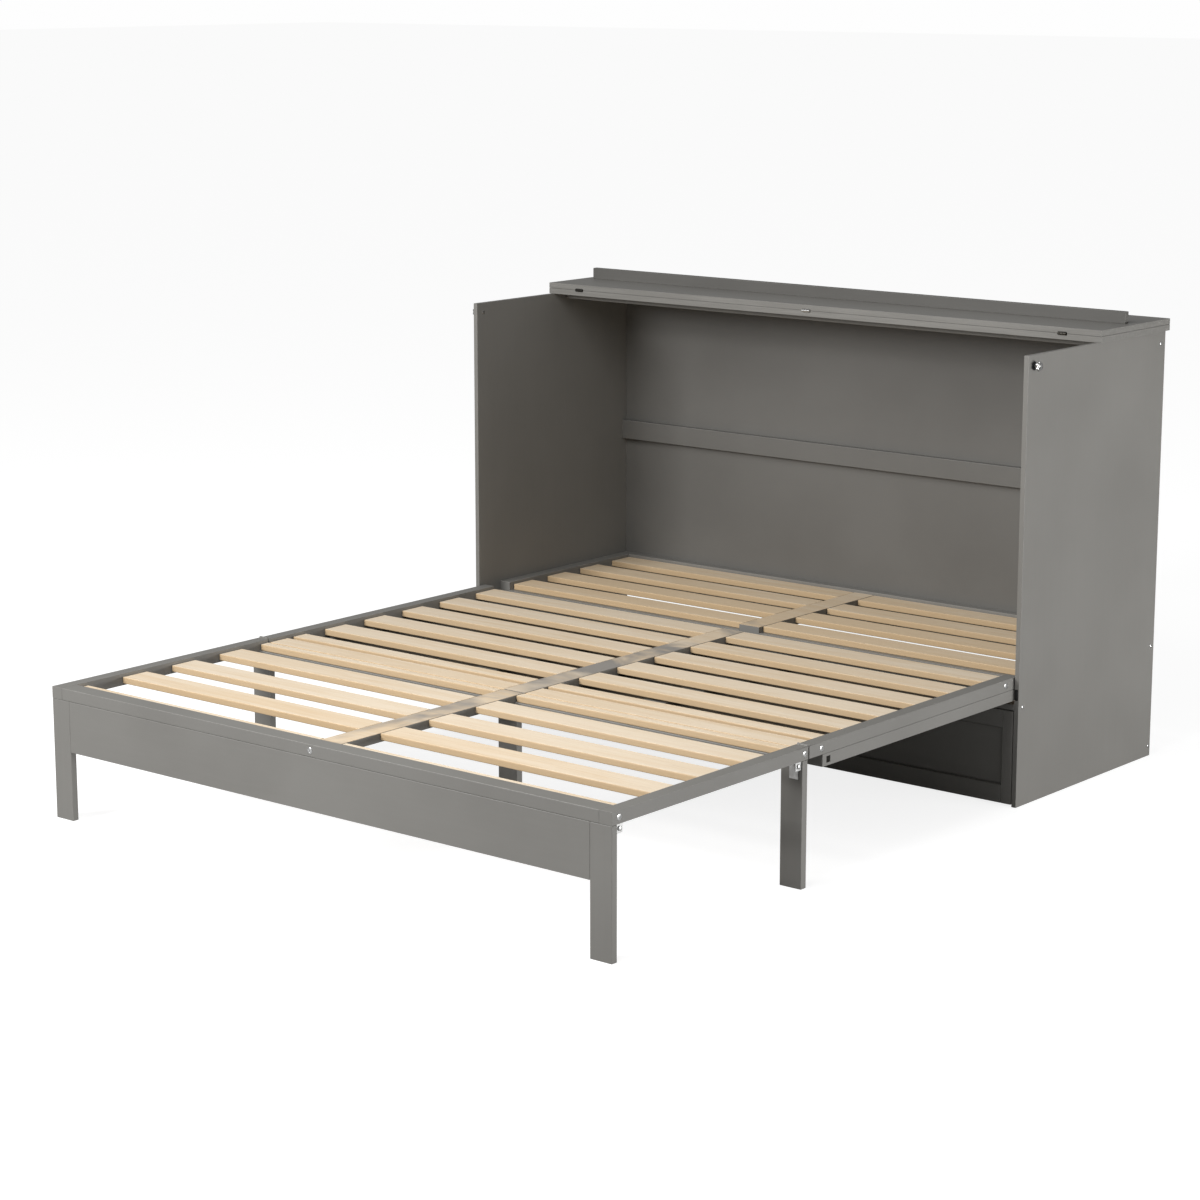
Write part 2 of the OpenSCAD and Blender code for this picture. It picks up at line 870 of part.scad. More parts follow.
module lock_knob() {
  lobe_r = knob_r * lobe_share;
  along_x(bed + tip_gap, knob_out, lock_y, lock_z, lock_r);
  along_x(knob_out, knob_out + knob_t, lock_y, lock_z, knob_r * hub_share);
  for (k = [0:lobes - 1]) {
    a = 360 * k / lobes;
    r = knob_r - lobe_r;
    along_x(knob_out, knob_out + knob_t, lock_y + r * cos(a), lock_z + r * sin(a), lobe_r);
  }
}

module lock_knob_right() {
  color(steel) placed() lock_knob();
}

module lock_knob_left() {
  color(steel) placed() mirror([1, 0, 0]) lock_knob();
}

side_panel_left();
side_panel_right();
back_panel();
back_batten();
lower_back_rail();
front_cross_rail();
fixed_top();
top_stretcher();
rear_frame();
rear_centre_rail();
rear_slats_left();
rear_slats_right();
deck_ledgers();
pivot_blocks();
drawer_runners_fixed();
side_screws();
lid_hinges_fixed();
lock_bushes();
lid_flap();
lid_batten();
lid_hinges_moving();
door_stile_left();
door_stile_right();
door_rails();
door_panels();
door_pivot_pins();
mid_rail_left();
mid_rail_right();
mid_centre_rail();
mid_crossbars();
mid_slats_left();
mid_slats_right();
mid_bolts();
mid_fold_hinges();
front_rail_left();
front_rail_right();
front_centre_rail();
front_joint_rail();
foot_rail();
front_slats_left();
front_slats_right();
front_bolts();
front_fold_hinges();
leg_brackets();
footboard_apron();
foot_legs();
foot_leg_ears();
mid_leg_left();
mid_leg_centre();
mid_leg_right();
mid_leg_ear_left();
mid_leg_ear_centre();
mid_leg_ear_right();
drawer_front();
drawer_frame();
drawer_walls();
drawer_bottom();
drawer_runners_moving();
lock_knob_left();
lock_knob_right();
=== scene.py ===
import json
import math

import bmesh
import bpy
from mathutils import Matrix, Vector


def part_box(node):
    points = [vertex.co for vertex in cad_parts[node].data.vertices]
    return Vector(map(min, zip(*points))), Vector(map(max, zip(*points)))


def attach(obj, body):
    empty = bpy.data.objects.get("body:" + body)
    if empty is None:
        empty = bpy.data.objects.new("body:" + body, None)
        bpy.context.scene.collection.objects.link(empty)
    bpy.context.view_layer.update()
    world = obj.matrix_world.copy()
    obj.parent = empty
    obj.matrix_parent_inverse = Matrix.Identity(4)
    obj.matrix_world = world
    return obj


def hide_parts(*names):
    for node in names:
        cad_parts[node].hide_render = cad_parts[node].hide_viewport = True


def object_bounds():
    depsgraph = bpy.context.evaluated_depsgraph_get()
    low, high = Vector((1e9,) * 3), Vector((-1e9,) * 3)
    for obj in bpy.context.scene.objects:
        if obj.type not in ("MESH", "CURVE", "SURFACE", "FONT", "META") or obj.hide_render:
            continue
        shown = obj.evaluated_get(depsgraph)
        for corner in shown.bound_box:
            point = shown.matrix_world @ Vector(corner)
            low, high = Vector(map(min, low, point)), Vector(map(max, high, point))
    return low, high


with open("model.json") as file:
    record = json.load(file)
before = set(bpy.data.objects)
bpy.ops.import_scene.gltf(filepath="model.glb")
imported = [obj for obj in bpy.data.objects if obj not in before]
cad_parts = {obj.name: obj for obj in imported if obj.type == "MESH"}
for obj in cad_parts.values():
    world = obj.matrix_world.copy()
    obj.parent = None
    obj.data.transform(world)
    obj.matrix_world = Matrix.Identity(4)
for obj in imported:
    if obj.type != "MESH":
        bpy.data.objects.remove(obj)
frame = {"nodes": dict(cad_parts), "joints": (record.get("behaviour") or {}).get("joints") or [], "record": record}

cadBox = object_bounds()
mm = 0.001
nodeBody = {node: body for body, nodes in frame["record"]["behaviour"]["bodies"].items() for node in nodes}
xAxis, yAxis, zAxis = Vector((1, 0, 0)), Vector((0, 1, 0)), Vector((0, 0, 1))


# camera

shot = {
    "azimuth": 39.48,      # degrees round from the bed's foot, towards +X
    "elevation": 11.95,
    "distance": 7.0,       # metres from the aim point
    "aim": (-0.027, -0.05, -0.10),   # from the middle of the bed's box
    "lens": 91.2,
    "farthest": 200,       # metres that the camera sees
}


def makeCamera():
    azimuth, elevation = math.radians(shot["azimuth"]), math.radians(shot["elevation"])
    back = Vector((math.sin(azimuth) * math.cos(elevation), -math.cos(azimuth) * math.cos(elevation),
                   math.sin(elevation)))
    camera = bpy.data.objects.new("camera", bpy.data.cameras.new("camera"))
    camera.location = (cadBox[0] + cadBox[1]) / 2 + Vector(shot["aim"]) + back * shot["distance"]
    camera.rotation_mode = "QUATERNION"
    camera.rotation_quaternion = (-back).to_track_quat("-Z", "Y")
    camera.data.lens = shot["lens"]
    camera.data.clip_end = shot["farthest"]
    bpy.context.scene.collection.objects.link(camera)
    bpy.context.scene.camera = camera


makeCamera()
print("camera set")


# finishes

def addNode(tree, kind, values=None, **settings):
    made = tree.nodes.new("ShaderNode" + kind)
    for name, value in settings.items():
        setattr(made, name, value)
    for name, value in (values or {}).items():
        if isinstance(value, bpy.types.NodeSocket):
            tree.links.new(value, made.inputs[name])
        else:
            made.inputs[name].default_value = value
    return made


def newFinish(name, **shader):
    finish = bpy.data.materials.new(name)
    finish.use_nodes = True
    tree = finish.node_tree
    principled = tree.nodes["Principled BSDF"]
    for socket, value in shader.items():
        principled.inputs[socket.replace("_", " ")].default_value = value
    return finish, tree, principled


def stretched(tree, vector, scale):
    return addNode(tree, "Mapping", {"Vector": vector, "Scale": scale}).outputs["Vector"]


def noise(tree, vector, scale, detail=3.0, roughness=0.5, distortion=0.0):
    return addNode(tree, "TexNoise", {"Vector": vector, "Scale": scale, "Detail": detail,
                                      "Roughness": roughness, "Distortion": distortion}).outputs["Fac"]


def remap(tree, value, low, high, toLow, toHigh):
    return addNode(tree, "MapRange", {"Value": value, "From Min": low, "From Max": high,
                                      "To Min": toLow, "To Max": toHigh}).outputs["Result"]


def blendColours(tree, share, first, second):
    made = addNode(tree, "Mix", data_type="RGBA")
    pairs = ((made.inputs[0], share), (made.inputs[6], first), (made.inputs[7], second))
    for socket, value in pairs:
        if isinstance(value, bpy.types.NodeSocket):
            tree.links.new(value, socket)
        else:
            socket.default_value = value
    return made.outputs[2]


def mathOf(tree, operation, first, second):
    made = addNode(tree, "Math", operation=operation)
    for socket, value in zip(made.inputs, (first, second)):
        if isinstance(value, bpy.types.NodeSocket):
            tree.links.new(value, socket)
        else:
            socket.default_value = value
    return made.outputs[0]


def bumped(tree, principled, height, strength, distance):
    bump = addNode(tree, "Bump", {"Height": height, "Strength": strength, "Distance": distance})
    tree.links.new(bump.outputs["Normal"], principled.inputs["Normal"])


# the finishes' patterns are given by their scales, so a larger number is a finer pattern

paint = {
    "dark": (0.187, 0.181, 0.168, 1),
    "light": (0.208, 0.202, 0.188, 1),
    "wornAndHighlit": (0.30, 0.292, 0.273, 1),   # rounded edges: paint worn thin there, and a painted highlight along them
    "wearAndHighlightShare": 0.3,
    "rubbing": 38,       # patches along the edges where they are lightened, as wear and painted highlight
    "roughness": (0.40, 0.50),
    "clouds": 3.2,       # broad patches of tone
    "streaks": 110.0,    # brush marks, across the board
    "drawnOut": 0.045,   # their scale along the board, as a share of that across it
    "spread": 0.16,      # half the pattern's range that runs from dark to light
    "peel": 700.0,       # the sprayed coat's fine skin
    "relief": 0.10,
    "reliefDepth": 0.5 * mm,
}


def deeper(colour, share):
    return tuple(c * share for c in colour[:3]) + (1,)


def greyPaint(name, along, streakShare=0.2, contrast=1.0, depth=1.0, gloss=0.5):
    # along is the axis that the brush follows; depth is how much of the paint's lightness is left, and a depth
    # below 1 is painted shade
    finish, tree, principled = newFinish(name, IOR=1.46, Specular_IOR_Level=gloss)
    place = addNode(tree, "TexCoord").outputs["Object"]
    scale = [1.0, 1.0, 1.0]
    scale[along] = paint["drawnOut"]
    clouds = noise(tree, place, paint["clouds"], 4)
    streaks = noise(tree, stretched(tree, place, scale), paint["streaks"], 5, 0.6)
    peel = noise(tree, place, paint["peel"], 2)
    tone = mathOf(tree, "ADD", mathOf(tree, "MULTIPLY", clouds, 1 - streakShare),
                  mathOf(tree, "MULTIPLY", streaks, streakShare))
    spread = paint["spread"] / contrast
    coat = blendColours(tree, remap(tree, tone, 0.5 - spread, 0.5 + spread, 0, 1),
                        deeper(paint["dark"], depth), deeper(paint["light"], depth))
    # rounded edges are lightened in patches: partly paint worn thin, partly painted highlight
    edge = addNode(tree, "Attribute", attribute_name="edge").outputs["Fac"]
    rubbed = remap(tree, noise(tree, place, paint["rubbing"], 4, 0.65), 0.42, 0.62, 0.25, 1.0)
    share = mathOf(tree, "MULTIPLY", mathOf(tree, "MULTIPLY", edge, rubbed), paint["wearAndHighlightShare"])
    tree.links.new(blendColours(tree, share, coat, paint["wornAndHighlit"]), principled.inputs["Base Color"])
    tree.links.new(remap(tree, tone, 0.3, 0.7, *paint["roughness"]), principled.inputs["Roughness"])
    height = mathOf(tree, "ADD", mathOf(tree, "MULTIPLY", peel, 1 - streakShare),
                    mathOf(tree, "MULTIPLY", streaks, streakShare))
    bumped(tree, principled, height, paint["relief"], paint["reliefDepth"])
    return finish


slatWood = {
    "pale": (0.800, 0.680, 0.525, 1),
    "warm": (0.720, 0.560, 0.375, 1),
    "line": (0.42, 0.285, 0.155, 1),
    "sideShade": (0.545, 0.385, 0.215, 1),    # the slats' narrow sides, painted darker as shade
    "sideShadeShare": 0.85,
    "tintSpread": 0.45,     # how much the slats' tints differ
    "grain": 45.0,
    "fineGrain": 620,
    "pores": 1500,
    "clouds": 6,
    "apart": (37.0, 11.0, 5.0),   # the slats' grains are moved apart by up to this much
    "roughness": (0.48, 0.66),
    "relief": 0.3,
    "reliefDepth": 0.5 * mm,
}


def woodColour(tree, warmth):
    # the grain's colour, its fine lines and its pores; every slat has grain of its own
    place = addNode(tree, "TexCoord").outputs["Object"]
    own = addNode(tree, "NewGeometry").outputs["Random Per Island"]
    steps = {axis: mathOf(tree, "MULTIPLY", own, far) for axis, far in zip("XYZ", slatWood["apart"])}
    shift = addNode(tree, "CombineXYZ", steps).outputs[0]
    moved = addNode(tree, "VectorMath", operation="ADD")
    tree.links.new(place, moved.inputs[0])
    tree.links.new(shift, moved.inputs[1])
    vector = moved.outputs[0]
    rings = noise(tree, stretched(tree, vector, (0.05, 1, 1)), slatWood["grain"], 3, 0.55, 1.1)
    fine = noise(tree, stretched(tree, vector, (0.018, 1, 1)), slatWood["fineGrain"], 3, 0.7)
    pores = noise(tree, stretched(tree, vector, (0.06, 1, 1)), slatWood["pores"], 1, 0.5)
    clouds = noise(tree, stretched(tree, vector, (0.3, 1, 1)), slatWood["clouds"], 3)
    half = slatWood["tintSpread"] / 2
    tint = remap(tree, own, 0, 1, warmth - half, warmth + half)
    tone = mathOf(tree, "ADD", remap(tree, rings, 0.3, 0.7, -0.1, 0.7),
                  remap(tree, clouds, 0.3, 0.7, -0.25, 0.3))
    tone = addNode(tree, "Clamp", {"Value": mathOf(tree, "ADD", tone, tint)}).outputs[0]
    base = blendColours(tree, tone, slatWood["pale"], slatWood["warm"])
    # edge marks the slats' narrow sides and other pieces' rounded edges; these get a darker tan as painted shade
    edge = addNode(tree, "Attribute", attribute_name="edge").outputs["Fac"]
    sideShaded = blendColours(tree, mathOf(tree, "MULTIPLY", edge, slatWood["sideShadeShare"]), base, slatWood["sideShade"])
    lines = addNode(tree, "Clamp", {"Value": remap(tree, fine, 0.54, 0.74, 0, 0.42)}).outputs[0]
    lined = blendColours(tree, lines, sideShaded, slatWood["line"])
    specks = addNode(tree, "Clamp", {"Value": remap(tree, pores, 0.66, 0.78, 0, 0.35)}).outputs[0]
    return blendColours(tree, specks, lined, slatWood["line"]), fine, pores


def paleWood(name, warmth):
    finish, tree, principled = newFinish(name, IOR=1.45)
    colour, fine, pores = woodColour(tree, warmth)
    tree.links.new(colour, principled.inputs["Base Color"])
    tree.links.new(remap(tree, fine, 0.3, 0.7, *slatWood["roughness"]), principled.inputs["Roughness"])
    height = mathOf(tree, "SUBTRACT", mathOf(tree, "MULTIPLY", fine, 0.5),
                    mathOf(tree, "MULTIPLY", pores, 0.5))
    bumped(tree, principled, height, slatWood["relief"], slatWood["reliefDepth"])
    return finish


railTop = {
    "stain": (0.245, 0.236, 0.226, 1),   # thin grey stain on the bare wood
    "bare": (0.44, 0.60),                # levels of the patches between which the wood shows
    "patch": 4.2,
    "warmth": 0.3,
    "roughness": (0.42, 0.56),
    "relief": 0.12,
    "reliefDepth": 0.5 * mm,
}


def stainedTop(name, woodShare):
    # centre rails: painted sides, and a top where patches of the wood show through a thin stain
    finish, tree, principled = newFinish(name, IOR=1.46)
    place = addNode(tree, "TexCoord").outputs["Object"]
    wood = woodColour(tree, railTop["warmth"])[0]
    patches = noise(tree, stretched(tree, place, (0.8, 1, 1)), railTop["patch"], 4, 0.6, 0.6)
    low, high = railTop["bare"]
    shown = remap(tree, patches, low - woodShare, high - woodShare, 0.1, 0.95)
    bare = addNode(tree, "Clamp", {"Value": shown}).outputs[0]
    top = blendColours(tree, bare, railTop["stain"], wood)
    facing = addNode(tree, "TexCoord").outputs["Normal"]
    up = addNode(tree, "SeparateXYZ", {"Vector": facing}).outputs["Z"]
    clouds = noise(tree, place, paint["clouds"], 4)
    coat = blendColours(tree, remap(tree, clouds, 0.34, 0.66, 0, 1), paint["dark"], paint["light"])
    upward = addNode(tree, "Clamp", {"Value": remap(tree, up, 0.6, 0.9, 0, 1)}).outputs[0]
    tree.links.new(blendColours(tree, upward, coat, top), principled.inputs["Base Color"])
    tree.links.new(remap(tree, clouds, 0.3, 0.7, *railTop["roughness"]), principled.inputs["Roughness"])
    bumped(tree, principled, noise(tree, place, paint["peel"], 2), railTop["relief"], railTop["reliefDepth"])
    return finish


steel = {
    "blotches": 90,
    "scratches": 900,
    "drawnOut": 0.08,      # the scratches' scale along Y, as a share of that across
    "dulled": 0.72,        # lightness left in the dull blotches
    "blotchShare": 0.6,
    "relief": 0.12,
    "reliefDepth": 0.2 * mm,
}


def zincSteel(name, colour, low, high):
    finish, tree, principled = newFinish(name, Metallic=1.0)
    place = addNode(tree, "TexCoord").outputs["Object"]
    blotch = noise(tree, place, steel["blotches"], 4, 0.6)
    scratch = noise(tree, stretched(tree, place, (1, steel["drawnOut"], 1)), steel["scratches"], 3, 0.7)
    tree.links.new(blendColours(tree, remap(tree, blotch, 0.35, 0.65, 0, 1), colour,
                                deeper(colour, steel["dulled"])), principled.inputs["Base Color"])
    mixed = mathOf(tree, "ADD", mathOf(tree, "MULTIPLY", blotch, steel["blotchShare"]),
                   mathOf(tree, "MULTIPLY", scratch, 1 - steel["blotchShare"]))
    tree.links.new(remap(tree, mixed, 0.35, 0.65, low, high), principled.inputs["Roughness"])
    bumped(tree, principled, scratch, steel["relief"], steel["reliefDepth"])
    return finish


nylon = {
    "black": (0.012, 0.012, 0.012, 1),
    "rubbed": (0.0256, 0.0256, 0.0256, 1),
    "grain": 1400,
    "patches": 40,
    "roughness": (0.42, 0.60),
    "relief": 0.25,
    "reliefDepth": 0.3 * mm,
}


def mouldedNylon(name):
    finish, tree, principled = newFinish(name, IOR=1.5)
    place = addNode(tree, "TexCoord").outputs["Object"]
    grain = noise(tree, place, nylon["grain"], 2)
    patches = noise(tree, place, nylon["patches"], 3)
    tree.links.new(blendColours(tree, remap(tree, patches, 0.3, 0.7, 0, 1), nylon["black"], nylon["rubbed"]),
                   principled.inputs["Base Color"])
    tree.links.new(remap(tree, patches, 0.3, 0.7, *nylon["roughness"]), principled.inputs["Roughness"])
    bumped(tree, principled, grain, nylon["relief"], nylon["reliefDepth"])
    return finish


foil = {
    "pale": (0.70, 0.67, 0.61, 1),
    "grained": (0.60, 0.57, 0.51, 1),
    "grain": 160,
    "clouds": 5,
    "grainShare": 0.7,
    "roughness": (0.40, 0.55),
    "relief": 0.10,
    "reliefDepth": 0.3 * mm,
}


def foilLining(name):
    # the drawer's box: pale foil on board, with a faint printed grain
    finish, tree, principled = newFinish(name, IOR=1.45)
    place = addNode(tree, "TexCoord").outputs["Object"]
    grain = noise(tree, stretched(tree, place, (0.06, 1, 1)), foil["grain"], 4, 0.6)
    clouds = noise(tree, place, foil["clouds"], 3)
    tone = mathOf(tree, "ADD", mathOf(tree, "MULTIPLY", grain, foil["grainShare"]),
                  mathOf(tree, "MULTIPLY", clouds, 1 - foil["grainShare"]))
    tree.links.new(blendColours(tree, remap(tree, tone, 0.35, 0.65, 0, 1), foil["pale"], foil["grained"]),
                   principled.inputs["Base Color"])
    tree.links.new(remap(tree, clouds, 0.3, 0.7, *foil["roughness"]), principled.inputs["Roughness"])
    bumped(tree, principled, grain, foil["relief"], foil["reliefDepth"])
    return finish


paintAlong = [greyPaint("greyPaintAlong" + "XYZ"[axis], axis) for axis in range(3)]
# darker copies of the grey paint, as painted shade: a little on the lid, much on the lid's batten, the back panel
# and its batten
lidPaint = greyPaint("brushedLidPaint", 0, streakShare=0.75, contrast=2.6, depth=0.98)
shadedBattenPaint = greyPaint("shadedBattenPaint", 0, streakShare=0.4, contrast=1.4, depth=0.58, gloss=0.3)
shadedBackPaint = greyPaint("shadedBackPaint", 0, streakShare=0.1, depth=0.70)
slatFinish = paleWood("paleSlatWood", warmth=0.0)
rearSlatFinish = paleWood("warmSlatWood", warmth=0.55)
railFinish = {
    "rear": stainedTop("stainedRearRail", woodShare=0.12),
    "mid": stainedTop("stainedMiddleRail", woodShare=0.02),
    "front": stainedTop("stainedFrontRail", woodShare=0.0),
}
hingeSteel = zincSteel("hingeSteel", (0.46, 0.455, 0.44, 1), 0.28, 0.45)
darkSteel = zincSteel("darkSteel", (0.06, 0.056, 0.05, 1), 0.34, 0.5)
earSteel = zincSteel("earSteel", (0.78, 0.78, 0.77, 1), 0.30, 0.46)
boltSteel = zincSteel("boltSteel", (0.82, 0.82, 0.81, 1), 0.18, 0.34)
knobSteel = zincSteel("knobSteel", (0.74, 0.74, 0.73, 1), 0.16, 0.30)
blackNylon = mouldedNylon("blackNylon")
drawerLining = foilLining("drawerLining")
print("finishes made")


# making pieces

def addBoard(bm, low, high, edge, steps=3):
    # a board with rounded edges, between two corners
    low, high = Vector(low), Vector(high)
    place = Matrix.Translation((low + high) / 2) @ Matrix.Diagonal((*(high - low), 1))
    made = bmesh.ops.create_cube(bm, size=1, matrix=place)
    edges = list({e for v in made["verts"] for e in v.link_edges})
    layer = bm.faces.layers.float.get("edge") or bm.faces.layers.float.new("edge")
    rounded = bmesh.ops.bevel(bm, geom=edges, offset=edge, segments=steps, profile=0.5, affect="EDGES",
                              clamp_overlap=True)
    for face in rounded["faces"]:
        face[layer] = 1.0


outline = {
    "starLobes": 6,
    "starDepth": 0.13,      # half the lobes' depth, as a share of the radius
    "crossArm": 0.26,       # half the width of a cross's arm, as a share of the radius
}


def ringRadius(shape, radius, angle):
    # how far a ring's outline stands from its middle, for each kind of outline
    if shape == "hex":
        return radius * math.cos(math.pi / 6) / math.cos(angle % (math.pi / 3) - math.pi / 6)
    if shape == "star":
        return radius * (1 - outline["starDepth"] * (1 - math.cos(outline["starLobes"] * angle)))
    if shape == "cross":
        turn = abs((angle + math.pi / 4) % (math.pi / 2) - math.pi / 4)
        arm = radius * outline["crossArm"]
        return radius / math.cos(turn) if radius * math.tan(turn) < arm else arm / math.sin(turn)
    return radius


def addTurned(bm, centre, axis, profile, steps=36):
    # a turned piece: profile holds (radius, distance along the axis, outline)
    turn = zAxis.rotation_difference(Vector(axis)).to_matrix()
    rings = []
    for radius, out, shape in profile:
        ring = []
        for k in range(steps):
            angle = 2 * math.pi * (k + 0.5) / steps
            reach = ringRadius(shape, radius, angle)
            spot = Vector((reach * math.cos(angle), reach * math.sin(angle), out))
            ring.append(bm.verts.new(Vector(centre) + turn @ spot))
        rings.append(ring)
    for near, far in zip(rings, rings[1:]):
        for k in range(steps):
            after = (k + 1) % steps
            bm.faces.new((near[k], near[after], far[after], far[k]))
    bm.faces.new(rings[0][::-1])
    bm.faces.new(rings[-1])


def addPin(bm, start, end, radius, chamfer):
    start, end = Vector(start), Vector(end)
    length = (end - start).length
    addTurned(bm, start, (end - start).normalized(),
              [(radius - chamfer, 0, ""), (radius, chamfer, ""), (radius, length - chamfer, ""),
               (radius - chamfer, length, "")])


def addScrew(bm, centre, axis, radius, height):
    # countersunk head with a cross recess
    addTurned(bm, centre, axis,
              [(radius, -height, ""), (radius, 0, ""), (radius * 0.82, height * 0.8, ""),
               (radius * 0.62, height, ""), (radius * 0.60, height, "cross"),
               (radius * 0.42, -height * 0.5, "cross")], 48)


def addBolt(bm, centre, axis, radius, height):
    # domed head with a hexagon socket
    addTurned(bm, centre, axis,
              [(radius, 0, ""), (radius, height * 0.3, ""), (radius * 0.92, height * 0.66, ""),
               (radius * 0.74, height * 0.92, ""), (radius * 0.5, height, ""), (radius * 0.44, height, "hex"),
               (radius * 0.40, height * 0.15, "hex")])


def finishPiece(bm, name, finish, body, replaced=(), smoothAngle=40):
    bmesh.ops.recalc_face_normals(bm, faces=bm.faces[:])
    mesh = bpy.data.meshes.new(name)
    bm.to_mesh(mesh)
    bm.free()
    mesh.polygons.foreach_set("use_smooth", [True] * len(mesh.polygons))
    mesh.set_sharp_from_angle(angle=math.radians(smoothAngle))
    mesh.materials.append(finish)
    piece = bpy.data.objects.new(name, mesh)
    bpy.context.scene.collection.objects.link(piece)
    weighted = piece.modifiers.new("evenNormals", "WEIGHTED_NORMAL")
    weighted.keep_sharp = True
    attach(piece, body)
    if replaced:
        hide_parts(*replaced)
    return piece


def weldedCopy(node):
    # the node's faces as whole flats, so that its edges can be rounded
    bm = bmesh.new()
    bm.from_mesh(frame["nodes"][node].data)
    bmesh.ops.remove_doubles(bm, verts=bm.verts[:], dist=1e-6)
    bmesh.ops.dissolve_limit(bm, angle_limit=math.radians(1), verts=bm.verts[:], edges=bm.edges[:])
    return bm


def solidBoxes(node):
    # lowest and highest corner of each separate solid in a node, from low X to high X
    bm = weldedCopy(node)
    left, boxes = set(bm.verts), []
    while left:
        group, queue = [], [left.pop()]
        while queue:
            vert = queue.pop()
            group.append(vert.co.copy())
            for edge in vert.link_edges:
                other = edge.other_vert(vert)
                if other in left:
                    left.discard(other)
                    queue.append(other)
        boxes.append((Vector(min(c[i] for c in group) for i in range(3)),
                      Vector(max(c[i] for c in group) for i in range(3))))
    bm.free()
    return sorted(boxes, key=lambda b: (round(b[0].x, 5), round(b[0].y, 5)))


def longAxis(node):
    low, high = solidBoxes(node)[0]
    size = high - low
    return max(range(3), key=lambda i: size[i])


softBoards = {
    "edge": 1.3 * mm,      # rounding along the boards' edges
    "shortest": 3 * mm,    # edges shorter than this belong to bores and stay crisp
    "sharp": 40,           # degrees between two flats, above which their edge is rounded
    "steps": 3,
}


def softenedNode(node, name, finish=None, edge=None):
    # the node's own shape with its long edges rounded
    bm = weldedCopy(node)
    sharp = [e for e in bm.edges if len(e.link_faces) == 2 and e.calc_length() > softBoards["shortest"]
             and e.calc_face_angle() > math.radians(softBoards["sharp"])]
    layer = bm.faces.layers.float.new("edge")
    rounded = bmesh.ops.bevel(bm, geom=sharp, offset=edge or softBoards["edge"], profile=0.5,
                              segments=softBoards["steps"], affect="EDGES", clamp_overlap=True)
    for face in rounded["faces"]:
        face[layer] = 1.0
    return finishPiece(bm, name, finish or paintAlong[longAxis(node)], nodeBody[node], (node,))


# boards of the cabinet, the bed and the door

plainBoards = {
    "side_panel_left": "sidePanelLeft", "side_panel_right": "sidePanelRight", "back_panel": "backPanel",
    "back_batten": "backBatten", "lower_back_rail": "lowerBackRail", "front_cross_rail": "frontCrossRail",
    "fixed_top": "fixedTop", "top_stretcher": "topStretcher",
    "lid_flap": "lidFlap", "lid_batten": "lidBatten",
    "deck_ledgers": "deckLedgers", "rear_frame": "rearFrame", "rear_centre_rail": "rearCentreRail",
    "mid_rail_left": "middleRailLeft", "mid_rail_right": "middleRailRight",
    "mid_centre_rail": "middleCentreRail", "mid_crossbars": "middleCrossbars",
    "front_rail_left": "frontRailLeft", "front_rail_right": "frontRailRight",
    "front_centre_rail": "frontCentreRail", "front_joint_rail": "frontJointRail", "foot_rail": "footRail",
    "footboard_apron": "footboardApron", "foot_legs": "footLegs", "mid_leg_left": "middleLegLeft",
    "mid_leg_centre": "middleLegCentre", "mid_leg_right": "middleLegRight",
    "door_stile_left": "doorStileLeft", "door_stile_right": "doorStileRight",
}
boardEdges = {
    "back_panel": 0.6 * mm, "fixed_top": 3.4 * mm, "lid_flap": 3.4 * mm, "lid_batten": 1 * mm,
    "mid_rail_left": 2 * mm, "mid_rail_right": 2 * mm,
    "door_stile_left": 2 * mm, "door_stile_right": 2 * mm,
}
# the lid's batten, the back panel and its batten take the darker paints, which are painted shade
boardFinishes = {
    "fixed_top": lidPaint, "lid_flap": lidPaint, "lid_batten": shadedBattenPaint,
    "back_panel": shadedBackPaint, "back_batten": shadedBackPaint, "rear_centre_rail": railFinish["rear"],
    "mid_centre_rail": railFinish["mid"], "front_centre_rail": railFinish["front"],
}


def makePlainBoards():
    for node, name in plainBoards.items():
        softenedNode(node, name, boardFinishes.get(node), edge=boardEdges.get(node))


makePlainBoards()
print("boards made")


# slats

slats = {
    "edge": 2.2 * mm,       # rounding along each slat
    "tenon": 8 * mm,        # the CAD solids are this much longer at each end
    "shadow": 1.2 * mm,     # open line between a slat's end and its rail
    "tongueIn": 5 * mm,
    "tongueShare": 0.48,    # of the slat's thickness
    "tongueInside": 2 * mm,   # how far the tongue reaches into the slat
    "tongueEdge": 1 * mm,
    "sideShadeBelow": 0.8,          # faces that look up or down less than this are the narrow sides, which get painted shade
}


def addSlat(bm, low, high):
    end = Vector((slats["tenon"] + slats["shadow"], 0, 0))
    addBoard(bm, low + end, high - end, slats["edge"])
    middle, half = (low.z + high.z) / 2, (high.z - low.z) * slats["tongueShare"] / 2
    y0, y1 = low.y + slats["tongueIn"], high.y - slats["tongueIn"]
    reach = end.x + slats["tongueInside"]
    for x0, x1 in ((low.x, low.x + reach), (high.x - reach, high.x)):
        addBoard(bm, (x0, y0, middle - half), (x1, y1, middle + half), slats["tongueEdge"], 1)


def makeSlats(node, name, finish):
    bm = bmesh.new()
    for low, high in solidBoxes(node):
        addSlat(bm, low, high)
    bm.normal_update()
    layer = bm.faces.layers.float["edge"]
    for face in bm.faces:      # the narrow sides get painted shade, darker than the tops and bottoms
        face[layer] = 1.0 if abs(face.normal.z) < slats["sideShadeBelow"] else 0.0
    finishPiece(bm, name, finish, nodeBody[node], (node,))


for section, label in (("rear", "rear"), ("mid", "middle"), ("front", "front")):
    for side in ("left", "right"):
        makeSlats(f"{section}_slats_{side}", f"{label}Slats{side.title()}",
                  rearSlatFinish if section == "rear" else slatFinish)
print("slats made")


# framed fronts: the drawer's and the door's

moulding = {
    "bead": 6 * mm,         # width of the border round the panel
    "panelDepth": 8 * mm,
    "ease": 0.8 * mm,       # rounding at the frame's inner edge
    "groove": 2.4 * mm,     # fine groove between frame and panel, as wide as it is deep
    "jointGap": 0.35 * mm,  # the fine line where rail and stile meet
}


